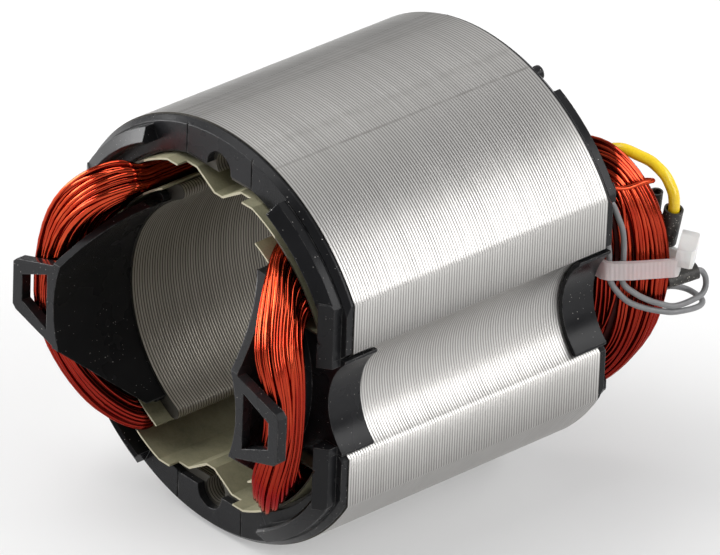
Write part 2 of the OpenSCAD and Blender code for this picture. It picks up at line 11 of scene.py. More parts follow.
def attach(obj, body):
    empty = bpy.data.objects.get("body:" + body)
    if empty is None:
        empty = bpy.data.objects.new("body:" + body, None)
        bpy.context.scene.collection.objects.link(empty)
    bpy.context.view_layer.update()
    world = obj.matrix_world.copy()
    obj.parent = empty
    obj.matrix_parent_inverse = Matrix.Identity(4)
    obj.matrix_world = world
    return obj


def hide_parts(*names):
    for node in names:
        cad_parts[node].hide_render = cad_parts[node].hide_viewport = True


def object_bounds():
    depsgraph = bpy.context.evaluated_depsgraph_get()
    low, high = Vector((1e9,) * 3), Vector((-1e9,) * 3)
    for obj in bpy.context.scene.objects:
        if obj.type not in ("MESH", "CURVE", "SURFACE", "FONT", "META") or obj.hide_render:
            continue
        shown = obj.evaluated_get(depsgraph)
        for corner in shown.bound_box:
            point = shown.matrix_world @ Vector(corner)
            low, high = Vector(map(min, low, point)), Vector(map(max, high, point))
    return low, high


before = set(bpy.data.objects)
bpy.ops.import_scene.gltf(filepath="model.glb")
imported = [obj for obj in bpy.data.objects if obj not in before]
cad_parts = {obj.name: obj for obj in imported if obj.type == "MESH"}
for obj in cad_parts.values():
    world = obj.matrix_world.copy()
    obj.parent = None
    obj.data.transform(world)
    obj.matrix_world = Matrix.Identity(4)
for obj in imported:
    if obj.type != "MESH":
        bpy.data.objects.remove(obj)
cad_low, cad_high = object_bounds()

MM = 0.001
BODY = "root"
WHITE = (1, 1, 1, 1)

# Random draws of the shapes, and those of the wires' tones
rng = random.Random(7)
tone_rng = random.Random(11)

# Sizes of the stator in millimetres, as the solids have them
STACK_LENGTH = 65.0
HALF_LENGTH = STACK_LENGTH / 2
STACK_R = 43.65
HALF_FLAT = 37.65
GROOVE_HALF = 11.6
GROOVE_DEPTH = 5.8
BORE_R = 26.2
SHOE_R = 29.2
SLOT_R = 35.9
NECK_HALF = 14.4
HALF_POLE = math.radians(62)
YOKE_FLAT = 33.7
CHANNEL_R = 2.7
CHANNEL_HEIGHT = 35.8
REAR_OVERHANG = 18.8
FRONT_OVERHANG = 17.0

# Camera fitted to the photograph, in millimetres, with its aim counted from the front face of the stack
AZIMUTH = math.radians(47.277)
ELEVATION = math.radians(29.787)
ROLL = math.radians(2.149)
EYE_DISTANCE = 1893.9
AIM_RIGHT = 26.657
AIM_UP = 9.899
SENSOR_WIDTH = 36.0
FOCAL_LENGTH = 494.4
CLIP_START_M = 0.1
CLIP_END_M = 20


def make_camera():
    right = Vector((math.cos(AZIMUTH), math.sin(AZIMUTH), 0))
    back = Vector((
        math.sin(AZIMUTH) * math.cos(ELEVATION),
        -math.cos(AZIMUTH) * math.cos(ELEVATION),
        math.sin(ELEVATION),
    ))
    up = back.cross(right)
    rolled_right = math.cos(ROLL) * right + math.sin(ROLL) * up
    rolled_up = math.cos(ROLL) * up - math.sin(ROLL) * right
    eye = back * EYE_DISTANCE + rolled_right * AIM_RIGHT + rolled_up * AIM_UP
    eye.y -= HALF_LENGTH
    data = bpy.data.cameras.new("camera")
    data.sensor_width = SENSOR_WIDTH
    data.lens = FOCAL_LENGTH
    data.clip_start = CLIP_START_M
    data.clip_end = CLIP_END_M
    camera = bpy.data.objects.new("camera", data)
    turn = Matrix((rolled_right, rolled_up, back)).transposed().to_4x4()
    camera.matrix_world = Matrix.Translation(eye * MM) @ turn
    bpy.context.scene.collection.objects.link(camera)
    bpy.context.scene.camera = camera


make_camera()


# Node tools for the materials
TONE_STOPS = (0.3, 0.7)
BEVEL_SAMPLES = 6


class Nodes:
    """A new material's node tree, with short ways to add and link nodes."""

    def __init__(self, name):
        self.material = bpy.data.materials.new(name)
        self.material.use_nodes = True
        self.tree = self.material.node_tree
        self.shader = self.tree.nodes["Principled BSDF"]

    def add(self, kind, **values):
        made = self.tree.nodes.new(kind)
        for key, value in values.items():
            setattr(made, key, value)
        return made

    def link(self, source, target):
        self.tree.links.new(source, target)

    def feed(self, socket, value):
        if isinstance(value, bpy.types.NodeSocket):
            self.link(value, socket)
        else:
            socket.default_value = value

    def set(self, **values):
        for key, value in values.items():
            self.feed(self.shader.inputs[key.replace("_", " ")], value)

    def coordinates(self, stretch=(1, 1, 1)):
        """Places on the part in metres, stretched along its axes."""
        source = self.add("ShaderNodeTexCoord")
        mapping = self.add("ShaderNodeMapping")
        mapping.inputs["Scale"].default_value = stretch
        self.link(source.outputs["Object"], mapping.inputs["Vector"])
        return mapping.outputs["Vector"]

    def split(self, vector):
        """The X, Y and Z of a vector."""
        made = self.add("ShaderNodeSeparateXYZ")
        self.link(vector, made.inputs["Vector"])
        return made.outputs

    def noise(self, scale, detail=3.0, rough=0.5, stretch=(1, 1, 1)):
        """Clouds from 0 to 1, with scale of them to the metre."""
        made = self.add("ShaderNodeTexNoise")
        made.inputs["Scale"].default_value = scale
        made.inputs["Detail"].default_value = detail
        made.inputs["Roughness"].default_value = rough
        self.link(self.coordinates(stretch), made.inputs["Vector"])
        return made.outputs["Fac"]

    def ramp(self, source, stops):
        made = self.add("ShaderNodeValToRGB")
        elements = made.color_ramp.elements
        while len(elements) < len(stops):
            elements.new(0.5)
        for element, (position, colour) in zip(elements, stops):
            element.position = position
            element.color = (*colour, 1)
        self.link(source, made.inputs["Fac"])
        return made.outputs["Color"]

    def two_tone(self, source, dark, light, stops=TONE_STOPS):
        return self.ramp(source, list(zip(stops, (dark, light))))

    def band(self, source, low, high, from_value, to_value):
        """Turns the range from low to high into the range between two values."""
        made = self.add("ShaderNodeMapRange")
        ends = {"From Min": low, "From Max": high, "To Min": from_value, "To Max": to_value}
        for key, value in ends.items():
            made.inputs[key].default_value = value
        self.link(source, made.inputs["Value"])
        return made.outputs["Result"]

    def maths(self, operation, first, second=0.0):
        made = self.add("ShaderNodeMath", operation=operation)
        self.feed(made.inputs[0], first)
        self.feed(made.inputs[1], second)
        return made.outputs["Value"]

    def mix(self, factor, first, second):
        made = self.add("ShaderNodeMix", data_type="RGBA")
        self.feed(made.inputs["Factor"], factor)
        for key, value in (("A", first), ("B", second)):
            socket = [s for s in made.inputs if s.name == key and s.type == "RGBA"][0]
            self.feed(socket, value if isinstance(value, bpy.types.NodeSocket) else (*value, 1))
        return [s for s in made.outputs if s.type == "RGBA"][0]

    def bevel(self, radius):
        """Normal of the surface with its edges rounded, by a radius in millimetres."""
        made = self.add("ShaderNodeBevel", samples=BEVEL_SAMPLES)
        made.inputs["Radius"].default_value = radius * MM
        return made.outputs["Normal"]

    def bump(self, height, strength, distance, normal=None):
        """Relief of the surface, with its full height in millimetres."""
        made = self.add("ShaderNodeBump")
        made.inputs["Strength"].default_value = strength
        made.inputs["Distance"].default_value = distance * MM
        self.link(height, made.inputs["Height"])
        if normal is not None:
            self.link(normal, made.inputs["Normal"])
        self.link(made.outputs["Normal"], self.shader.inputs["Normal"])

    def specks(self, scale, size, share):
        """White on small round spots, with only a share of the cells holding one."""
        made = self.add("ShaderNodeTexVoronoi")
        made.inputs["Scale"].default_value = scale
        self.link(self.coordinates(), made.inputs["Vector"])
        near = self.maths("LESS_THAN", made.outputs["Distance"], size)
        split = self.add("ShaderNodeSeparateColor")
        self.link(made.outputs["Color"], split.inputs["Color"])
        picked = self.maths("LESS_THAN", split.outputs["Red"], share)
        return self.maths("MULTIPLY", near, picked)


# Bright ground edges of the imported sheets, each sheet a little different, with dark lines between them
SHEETS = 100
SHEET_PITCH = STACK_LENGTH / SHEETS
SHEET_STRETCH = (14, 0.93 / (SHEET_PITCH * MM), 14)
STEEL_TONES = ((0.575, 0.565, 0.55), (0.62, 0.61, 0.595))
STEEL_SMEAR = (0.50, 0.485, 0.465)
STEEL_LINE = (0.3, 0.29, 0.28)
STEEL_LINE_SHARE = 0.36

# Dark streaks along the top and the bottom: how far from the middle, their half width and how dark
STREAKS = ((14.04, 0.4, 0.6), (8.6, 1.6, 0.22))
STREAK_COLOUR = (0.12, 0.105, 0.09)
STREAK_LEVEL = SLOT_R + 4

# Duller steel of the bore, the slots and the ends
BORE_TONES = ((0.42, 0.39, 0.34), (0.50, 0.465, 0.41))
BORE_SMEAR = (0.34, 0.315, 0.27)
BORE_LINE = (0.07, 0.065, 0.055)
BORE_LINE_SHARE = 0.24


def sheet_lines(n, dark_share):
    """0 on each sheet's edge and 1 on the dark line between two sheets, in shares of the pitch."""
    half = 0.5
    from_front = n.maths("ADD", n.split(n.coordinates())["Y"], HALF_LENGTH * MM)
    within = n.maths("FRACT", n.maths("DIVIDE", from_front, SHEET_PITCH * MM))
    off_middle = n.maths("ABSOLUTE", n.maths("SUBTRACT", within, half))
    return n.band(off_middle, half - dark_share, half - dark_share / 3, 0.0, 1.0)


def sheet_tones(n, dark, light):
    """A slightly different tone for each sheet, which changes slowly round the stack."""
    return n.two_tone(n.noise(1.0, 0.0, 0.5, SHEET_STRETCH), dark, light)


def steel_material():
    n = Nodes("sheet_steel")
    smears = n.noise(55, 4, 0.6, (1, 0.35, 1))
    colour = n.mix(n.band(smears, 0.35, 0.7, 0.0, 0.35), sheet_tones(n, *STEEL_TONES), STEEL_SMEAR)
    spot = n.split(n.coordinates())
    across = n.maths("ABSOLUTE", spot["X"])
    outside = n.maths("GREATER_THAN", n.maths("ABSOLUTE", spot["Z"]), STREAK_LEVEL * MM)
    broken = n.band(n.noise(260, 3, 0.6), 0.35, 0.6, 0.3, 1.0)
    for middle, half, dark in STREAKS:
        off = n.maths("ABSOLUTE", n.maths("SUBTRACT", across, middle * MM))
        streak = n.maths("MULTIPLY", n.band(off, half * MM, 0.0, 0.0, dark), outside)
        colour = n.mix(n.maths("MULTIPLY", streak, broken), colour, STREAK_COLOUR)
    colour = n.mix(sheet_lines(n, STEEL_LINE_SHARE), colour, STEEL_LINE)
    n.set(Base_Color=colour, Metallic=1.0)
    n.set(Roughness=n.band(smears, 0.3, 0.7, 0.34, 0.42))
    n.bump(n.noise(900, 2, 0.5), 0.02, 0.2)
    return n.material


def bore_material():
    n = Nodes("bore_steel")
    smears = n.band(n.noise(45, 4, 0.6), 0.35, 0.7, 0.0, 0.5)
    colour = n.mix(smears, sheet_tones(n, *BORE_TONES), BORE_SMEAR)
    colour = n.mix(sheet_lines(n, BORE_LINE_SHARE), colour, BORE_LINE)
    n.set(Base_Color=colour, Metallic=0.75)
    n.set(Roughness=n.band(n.noise(70, 3), 0.3, 0.7, 0.4, 0.55))
    return n.material


# Black mouldings: radius of their soft edges, how far the light wear on them reaches, and dust
PLASTIC_EDGE = 0.3
WEAR_REACH = 0.35
PLASTIC_TONES = ((0.008, 0.0081, 0.009), (0.016, 0.0161, 0.0175))
WEAR_COLOUR = (0.16, 0.157, 0.152)
DUST_COLOUR = (0.55, 0.53, 0.5)


def plastic_material():
    n = Nodes("black_plastic")
    cloud = n.noise(45, 4, 0.6)
    colour = n.two_tone(cloud, *PLASTIC_TONES, (0.3, 0.75))
    specks = n.maths("MAXIMUM", n.specks(1300, 0.13, 0.09), n.specks(2300, 0.17, 0.06))
    dusty = n.band(n.noise(60, 2), 0.42, 0.62, 0.08, 0.8)
    colour = n.mix(n.maths("MULTIPLY", specks, dusty), colour, DUST_COLOUR)
    turned = n.add("ShaderNodeVectorMath", operation="DOT_PRODUCT")
    n.link(n.bevel(WEAR_REACH), turned.inputs[0])
    n.link(n.add("ShaderNodeNewGeometry").outputs["Normal"], turned.inputs[1])
    edge = n.band(turned.outputs["Value"], 0.97, 0.75, 0.0, 1.0)
    worn = n.maths("MULTIPLY", edge, n.band(n.noise(420, 4, 0.65), 0.4, 0.65, 0.0, 0.9))
    n.set(Base_Color=n.mix(worn, colour, WEAR_COLOUR), Specular_IOR_Level=0.17)
    n.set(Roughness=n.band(cloud, 0.3, 0.7, 0.2, 0.32))
    n.bump(n.noise(2600, 3, 0.6), 0.14, 0.12, n.bevel(PLASTIC_EDGE))
    return n.material


# Fibre of the liners, with pale cut edges, dark beyond a half width where the coils shade them
FIBRE_STOPS = [(0.3, (0.17, 0.168, 0.098)), (0.55, (0.26, 0.245, 0.148)), (0.8, (0.35, 0.31, 0.195))]
FIBRE_GRAIN = (0.31, 0.29, 0.21)
CUT_EDGE = (0.42, 0.39, 0.28)
SHADED_CUT_EDGE = (0.05, 0.045, 0.03)
SHADED_FROM = 19
CUT_FACING = 0.8


def fibre_material():
    n = Nodes("slot_fibre")
    fine = n.noise(2200, 3, 0.6)
    colour = n.ramp(n.noise(160, 5, 0.7), FIBRE_STOPS)
    colour = n.mix(n.band(fine, 0.35, 0.75, 0.0, 0.4), colour, FIBRE_GRAIN)
    facing = n.split(n.add("ShaderNodeTexCoord").outputs["Normal"])
    cut = n.maths("GREATER_THAN", n.maths("ABSOLUTE", facing["Y"]), CUT_FACING)
    across = n.maths("ABSOLUTE", n.split(n.coordinates())["X"])
    shaded = n.maths("GREATER_THAN", across, SHADED_FROM * MM)
    colour = n.mix(cut, colour, n.mix(shaded, CUT_EDGE, SHADED_CUT_EDGE))
    n.set(Base_Color=colour, Roughness=0.75)
    n.bump(fine, 0.35, 0.2)
    return n.material


# Painted light of the wires: a point value about 1 on the side that looks out of the coil and 0 down in the
# gaps, where the enamel takes painted shade
PAINTED_LIGHT_ATTRIBUTE = "painted_light_on_wires"

# Red enamel, and the heights between which painted shade darkens it towards the bottom of the coils
ENAMEL_TONES = ((0.50, 0.036, 0.012), (0.72, 0.10, 0.034))
ENAMEL_PATCH = (0.30, 0.016, 0.007)
# Painted shade on the flanks of the wires and in the gaps between them
ENAMEL_PAINTED_FLANK_SHADE = (0.21, 0.009, 0.005)
ENAMEL_TINT = (0.8, 0.3, 0.2, 1)
# Painted shade: dark red of the core under the wires, standing for deeper wires in shade
CORE_SHADE_TONES = ((0.07, 0.005, 0.004), (0.14, 0.010, 0.006))
LOW_SHADE_COLOUR = (0.20, 0.009, 0.006)
LOW_SHADE_TOP = 20
LOW_SHADE_FULL = -18
LOW_SHADE_SHARE = 0.86


def enamel_material():
    n = Nodes("enamelled_wire")
    patch = n.band(n.noise(60, 3, 0.5), 0.4, 0.75, 0.0, 0.5)
    colour = n.mix(patch, n.two_tone(n.noise(240, 3, 0.6), *ENAMEL_TONES), ENAMEL_PATCH)
    # Painted shade: the enamel darkens towards the bottom of the coils
    height = n.split(n.coordinates())["Z"]
    low_shade = n.band(height, LOW_SHADE_TOP * MM, LOW_SHADE_FULL * MM, 0.0, LOW_SHADE_SHARE)
    colour = n.mix(low_shade, colour, LOW_SHADE_COLOUR)
    # Painted shade: the flanks of the wires and the gaps between them darken to the flank colour
    painted_light = n.add("ShaderNodeAttribute", attribute_name=PAINTED_LIGHT_ATTRIBUTE)
    colour = n.mix(painted_light.outputs["Fac"], ENAMEL_PAINTED_FLANK_SHADE, colour)
    n.set(Base_Color=colour, Metallic=1.0, Roughness=0.15, Specular_Tint=ENAMEL_TINT)
    n.set(Coat_Weight=0.15, Coat_Roughness=0.06)
    return n.material


def core_shade_material():
    # Painted shade of the coil's core
    n = Nodes("coil_core_painted_shade")
    n.set(Base_Color=n.two_tone(n.noise(300, 2), *CORE_SHADE_TONES), Roughness=0.7)
    return n.material


# Insulation, sleeving and crimps of the leads
YELLOW_TONES = ((0.82, 0.55, 0.012), (0.94, 0.68, 0.02))
YELLOW_ROUGHNESS = (0.2, 0.34)
GREY_TONES = ((0.165, 0.165, 0.168), (0.215, 0.215, 0.22))
GREY_ROUGHNESS = (0.36, 0.5)
BRAID_TONES = ((0.012, 0.011, 0.010), (0.05, 0.045, 0.038))
BRAID_SPECK = (0.32, 0.3, 0.26)
TIN_TONES = ((0.48, 0.46, 0.42), (0.70, 0.68, 0.63))


def insulation_material(name, tones, roughness):
    n = Nodes(name)
    n.set(Base_Color=n.two_tone(n.noise(220, 3, 0.6), *tones))
    n.set(Roughness=n.band(n.noise(500, 3), 0.3, 0.7, *roughness))
    n.bump(n.noise(1500, 2), 0.08, 0.1)
    return n.material


def braid_material():
    n = Nodes("braided_sleeving")
    threads = n.noise(1800, 3, 0.7)
    colour = n.two_tone(threads, *BRAID_TONES, (0.35, 0.75))
    n.set(Base_Color=n.mix(n.specks(2600, 0.3, 0.25), colour, BRAID_SPECK), Roughness=0.5)
    n.bump(threads, 0.25, 0.1)
    return n.material


def tin_material():
    n = Nodes("tinned_metal")
    n.set(Base_Color=n.two_tone(n.noise(700, 3), *TIN_TONES), Metallic=1.0, Roughness=0.3)
    return n.material


# Nylon of the tie: pitch of its teeth, how far along Y its strap reaches and blends into the head
TIE_TOOTH = 0.9
STRAP_END = 49.5
STRAP_BLEND = 2
NYLON_TONES = ((0.90, 0.89, 0.87), (0.97, 0.96, 0.94))
# Painted light: pink on the strap for the red of the wires behind it showing through the nylon
STRAP_SEE_THROUGH_RED = (0.93, 0.8, 0.8)
STRAP_SEE_THROUGH_SHARE = 0.75
HEAD_CLARITY = 0.35
STRAP_CLARITY = 0.62


def nylon_material():
    n = Nodes("natural_nylon")
    milk = n.two_tone(n.noise(180, 3), *NYLON_TONES)
    n.set(Roughness=0.3, IOR=1.45)
    n.set(Subsurface_Weight=0.15, Subsurface_Radius=(0.001, 0.0008, 0.0007), Subsurface_Scale=1.0)
    along = n.split(n.coordinates())["Y"]
    strap = n.band(along, STRAP_END * MM, (STRAP_END + STRAP_BLEND) * MM, 1.0, 0.0)
    # The strap's pink is painted light of the red wires seen through it
    n.set(Base_Color=n.mix(strap, milk, n.mix(STRAP_SEE_THROUGH_SHARE, milk, STRAP_SEE_THROUGH_RED)))
    n.set(Transmission_Weight=n.band(strap, 0.0, 1.0, HEAD_CLARITY, STRAP_CLARITY))
    tooth = n.maths("FRACT", n.maths("DIVIDE", along, TIE_TOOTH * MM))
    rib = n.maths("ABSOLUTE", n.maths("SUBTRACT", tooth, 0.5))
    n.bump(n.maths("MULTIPLY", rib, strap), 0.25, TIE_TOOTH)
    return n.material


STEEL = steel_material()
BORE_STEEL = bore_material()
PLASTIC = plastic_material()
FIBRE = fibre_material()
ENAMEL = enamel_material()
CORE_PAINTED_SHADE = core_shade_material()
YELLOW = insulation_material("yellow_insulation", YELLOW_TONES, YELLOW_ROUGHNESS)
GREY = insulation_material("grey_insulation", GREY_TONES, GREY_ROUGHNESS)
BRAID = braid_material()
TIN = tin_material()
NYLON = nylon_material()


# Mesh tools
def mesh_piece(name, points, faces, materials, face_materials=None, smooth=True):
    """New object from points in millimetres."""
    mesh = bpy.data.meshes.new(name)
    mesh.from_pydata([tuple(c * MM for c in p) for p in points], [], faces)
    for material in materials:
        mesh.materials.append(material)
    if face_materials is not None:
        mesh.polygons.foreach_set("material_index", face_materials)
    mesh.polygons.foreach_set("use_smooth", [smooth] * len(mesh.polygons))
    mesh.update()
    piece = bpy.data.objects.new(name, mesh)
    bpy.context.scene.collection.objects.link(piece)
    return piece


def place(piece, slot, *nodes):
    """Lets a piece stand for its solids on the one body."""
    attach(piece, BODY)
    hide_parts(*nodes)


def best_shift(points, a, b, sides):
    """Turn between two rings that joins each point to the nearest one."""
    return min(range(sides), key=lambda s: (points[a] - points[b + s]).length)


def tube(path, radius, sides, closed):
    """Points and faces of a round tube along a path, turned as little as possible from ring to ring."""
    count = len(path)
    points = []
    faces = []
    across = None
    for i, p in enumerate(path):
        behind = path[(i - 1) % count] if closed or i else p
        ahead = path[(i + 1) % count] if closed or i < count - 1 else p
        along = (ahead - behind).normalized()
        if across is None:
            across = along.orthogonal().normalized()
        across = (across - along * across.dot(along)).normalized()
        rise = along.cross(across)
        for k in range(sides):
            turn = 2 * math.pi * k / sides
            points.append(p + radius * (math.cos(turn) * across + math.sin(turn) * rise))
    for i in range(count if closed else count - 1):
        a = i * sides
        b = (i + 1) % count * sides
        shift = best_shift(points, a, b, sides) if i == count - 1 else 0
        for k in range(sides):
            m = (k + 1) % sides
            faces.append((a + k, a + m, b + (m + shift) % sides, b + (k + shift) % sides))
    if not closed:
        last = (count - 1) * sides
        faces.append(tuple(reversed(range(sides))))
        faces.append(tuple(range(last, last + sides)))
    return points, faces


# Leads, routed as the solids are, with Y counted from the rear of the stack
YELLOW_DIAMETER = 2.3
GREY_DIAMETER = 1.2
YELLOW_ROUTE = [
    (33.9, 20.8, 7.7), (34.3, 20.8, 9.6), (34.7, 20.8, 11.8), (34.6, 20.7, 14.5), (33.8, 20.6, 16.3),
    (32.5, 20, 18.6), (30.3, 19, 20.5), (29.2, 18.3, 21.2), (28.1, 17.5, 21.7), (25.4, 15.5, 22.8),
    (23.2, 14.3, 22.3), (20.9, 12.7, 21.2), (18.6, 10.6, 21.1), (16.4, 8.2, 22.6), (14.4, 5.7, 24.6),
]
INNER_GREY_ROUTE = [
    (30.2, 3.9, 21), (32.9, 5.7, 17.5), (33.9, 6.6, 14.5), (34.5, 7.4, 11.6), (34.9, 7.6, 8),
    (35, 7.5, 4.3), (35.5, 7.2, 0.5), (36.7, 9.4, -2.1), (37.2, 13, -4.8), (38, 15.6, -6.2),
    (38.4, 18.2, -7.4), (38.4, 21, -7.9), (38, 24.3, -8.2), (37.5, 27, -8.2), (37, 28.4, -7),
    (36.6, 28.5, -5.2), (36.3, 27.7, -3.8), (36, 26.5, -3.4), (35.7, 25.2, -3.6),
]
OUTER_GREY_ROUTE = [
    (32.7, 3, 16.6), (34, 3.5, 12.3), (34.1, 4.4, 7.5), (34.1, 4.6, 5.2), (34.8, 4.7, 1.1),
    (36, 7.2, -2.8), (36.5, 9.9, -5), (37, 12.9, -6.7), (38, 15.7, -7.8), (38.6, 18.1, -8.6),
    (38.7, 21.3, -9.3), (38.6, 24, -9.8), (38, 26.3, -10.2), (36.7, 28, -10.4), (34.9, 28.3, -10.1),
    (33.3, 27.4, -9.3), (32.4, 25.6, -8.4), (32, 23.5, -7.7), (31.9, 21.3, -7.4),
]
CURVE_STEPS = 6
LEAD_SIDES = 16


def smooth_path(points):
    """Curve through given points, with its bends rounded."""
    path = []
    last = len(points) - 1
    for i in range(last):
        before = points[max(i - 1, 0)]
        here = points[i]
        after = points[i + 1]
        beyond = points[min(i + 2, last)]
        for k in range(CURVE_STEPS):
            t = k / CURVE_STEPS
            path.append(0.5 * (
                2 * here + (after - before) * t
                + (2 * before - 5 * here + 4 * after - beyond) * t ** 2
                + (3 * here - before - 3 * after + beyond) * t ** 3
            ))
    path.append(points[last])
    return path


def make_lead(name, node, route, diameter, material, slot):
    path = smooth_path([Vector((x, y + HALF_LENGTH, z)) for x, y, z in route])
    lead = mesh_piece(name, *tube(path, diameter / 2, LEAD_SIDES, False), [material])
    place(lead, slot, node)


make_lead("lead_yellow", "yellow_lead", YELLOW_ROUTE, YELLOW_DIAMETER, YELLOW, "yellow_insulation")
make_lead("lead_grey_inner", "inner_grey_lead", INNER_GREY_ROUTE, GREY_DIAMETER, GREY, "grey_insulation")
make_lead("lead_grey_outer", "outer_grey_lead", OUTER_GREY_ROUTE, GREY_DIAMETER, GREY, "grey_insulation")


# Packed sheets: outlines in X and Z, each drawn anticlockwise, with ridges along Y
GROOVE_R = (GROOVE_HALF ** 2 + GROOVE_DEPTH ** 2) / (2 * GROOVE_DEPTH)
GROOVE_CENTRE = HALF_FLAT - GROOVE_DEPTH + GROOVE_R
GROOVE_STEPS = 24
ROUND_STEPS = 72
FACE_STEPS = 18
SLOT_STEPS = 12
SMALL_STEPS = 8
RIDGE_DEPTH = 0.05
VALLEY_WIDTH = 0.34
SHEET_SLIP = 0.02
SAME_RING = 0.01


def arc(centre, r, start, end, steps):
    """Points along an arc, with both of its ends."""
    turns = [start + (end - start) * i / steps for i in range(steps + 1)]
    return [(centre[0] + r * math.cos(t), centre[1] + r * math.sin(t)) for t in turns]


def outer_outline():
    """Round outline with its flats and side grooves, for the right and then the left half."""
    corner = math.acos(HALF_FLAT / STACK_R)
    dip = math.asin(GROOVE_HALF / GROOVE_R)
    right = arc((GROOVE_CENTRE, 0), GROOVE_R, math.pi + dip, math.pi - dip, GROOVE_STEPS)
    top = arc((0, 0), STACK_R, corner, math.pi - corner, ROUND_STEPS)
    return right + top + [(-x, -z) for x, z in right + top]


def inner_outline():
    """Bore, shoes, slots and screw channels, drawn as one closed line."""
    tip_r = (SHOE_R - BORE_R) / 2
    tip_mid = BORE_R + tip_r
    tip = (tip_mid * math.cos(HALF_POLE), tip_mid * math.sin(HALF_POLE))
    face = arc((0, 0), BORE_R, 0, HALF_POLE, FACE_STEPS)
    nose = arc(tip, tip_r, HALF_POLE + math.pi, HALF_POLE, SMALL_STEPS)[1:-1]
    back = arc((0, 0), SHOE_R, HALF_POLE, math.asin(NECK_HALF / SHOE_R), SMALL_STEPS)
    neck = math.asin(NECK_HALF / SLOT_R)
    slot = arc((0, 0), SLOT_R, neck, math.asin(YOKE_FLAT / SLOT_R), SLOT_STEPS)
    mouth = math.sqrt(CHANNEL_R ** 2 - (CHANNEL_HEIGHT - YOKE_FLAT) ** 2)
    start = math.atan2(YOKE_FLAT - CHANNEL_HEIGHT, mouth)
    channel = arc((0, CHANNEL_HEIGHT), CHANNEL_R, start, math.pi / 2, SMALL_STEPS)
    quarter = face + nose + back + slot + channel
    top = quarter + [(-x, z) for x, z in reversed(quarter[:-1])]
    return top + [(-x, -z) for x, z in top[1:-1]]


def outline_normals(line):
    """Unit vectors that point to the left of the way a closed line runs."""
    normals = []
    for before, after in zip(line[-1:] + line[:-1], line[1:] + line[:1]):
        way = Vector((after[0] - before[0], after[1] - before[1])).normalized()
        normals.append((-way.y, way.x))
    return normals


def outer_rings():
    """Places along Y and depths of the rings that make the sheets' edges and the valleys between."""
    rings = []
    for i in range(SHEETS):
        slip = rng.uniform(0, SHEET_SLIP)
        end = -HALF_LENGTH + (i + 1) * SHEET_PITCH
        rings.append((-HALF_LENGTH + i * SHEET_PITCH + VALLEY_WIDTH / 2, slip))
        rings.append((end - VALLEY_WIDTH / 2, slip))
        if i < SHEETS - 1:
            rings.append((end, RIDGE_DEPTH))
    rings[0] = (-HALF_LENGTH, 0)
    rings[-1] = (HALF_LENGTH, 0)
    return rings


def inner_rings():
    """The same ridges with one ring on each sheet, for the inner walls."""
    rings = [(-HALF_LENGTH, 0)]
    for i in range(1, SHEETS):
        rings.append((-HALF_LENGTH + i * SHEET_PITCH, RIDGE_DEPTH))
        rings.append((-HALF_LENGTH + (i + 0.5) * SHEET_PITCH, 0))
    rings[-1] = (HALF_LENGTH, 0)
    return rings


def sweep_ridges(line, rings, into_metal, first):
    """Wall along a closed line, with its points counted from first."""
    normals = outline_normals(line)
    count = len(line)
    points = []
    faces = []
    for y, depth in rings:
        for (x, z), (nx, nz) in zip(line, normals):
            points.append((x + into_metal * depth * nx, y, z + into_metal * depth * nz))
    for i in range(len(rings) - 1):
        a = first + i * count
        for k in range(count):
            m = (k + 1) % count
            faces.append((a + k, a + count + k, a + count + m, a + m))
    return points, faces


def end_face(outer, inner, outer_first, inner_first, forward):
    """Triangles between the two outlines, facing along Y or against it."""
    line = [Vector((x, z, 0)) for x, z in outer + inner]
    numbers = [*range(outer_first, outer_first + len(outer)), *range(inner_first, inner_first + len(inner))]
    faces = []
    for corners in tessellate_polygon([line[:len(outer)], line[len(outer):]]):
        a, b, c = (line[k] for k in corners)
        upward = (b - a).cross(c - a).z > 0
        ordered = corners if upward != forward else reversed(corners)
        faces.append(tuple(numbers[k] for k in ordered))
    return faces


def make_stack():
    looks = [STEEL, BORE_STEEL]
    outer = outer_outline()
    inner = inner_outline()
    points, faces = sweep_ridges(outer, outer_rings(), 1, 0)
    face_looks = [looks.index(STEEL)] * len(faces)
    inner_start = len(points)
    inner_points, inner_faces = sweep_ridges(inner, inner_rings(), -1, inner_start)
    points += inner_points
    faces += [tuple(reversed(f)) for f in inner_faces]
    side_faces = len(faces)
    faces += end_face(outer, inner, 0, inner_start, False)
    faces += end_face(outer, inner, inner_start - len(outer), len(points) - len(inner), True)
    face_looks += [looks.index(BORE_STEEL)] * (len(faces) - len(face_looks))
    stack = mesh_piece("stack_of_sheets", points, faces, looks, face_looks)
    for polygon in stack.data.polygons[side_faces:]:
        polygon.use_smooth = False
    for edge in stack.data.edges:
        a, b = (stack.data.vertices[v].co.y for v in edge.vertices)
        edge.use_edge_sharp = abs(a - b) < SAME_RING * MM
    place(stack, "sheet_steel", "lamination_stack")


make_stack()


# Field coils: the saddle form of the solids, with wires that rise from the slots more gently
COIL_SLOT_OUT = 35.05
COIL_SLOT_IN = 30.2
COIL_MID_R = (COIL_SLOT_OUT + COIL_SLOT_IN) / 2
COIL_END_IN = 30.5
COIL_INNER_HALF = 15.55
COIL_INNER_ANGLE = math.degrees(math.asin(COIL_INNER_HALF / COIL_SLOT_IN))
COIL_SLOT_ANGLE = 58.5
COIL_EDGE_ANGLE = 64
WIDEN_ANGLE = math.radians(25)
COIL_INNER_REACH = 5.2
SPREAD_END = 9.5
COIL_WEDGE = 4
WEDGE_POWER = 3
INNER_BOXINESS = 6
SECTION_BOXINESS = 6
BULGE_ANGLES = (15, 25)
FLARE_ANGLES = (8, 34)
FLARE_LENGTH = 10

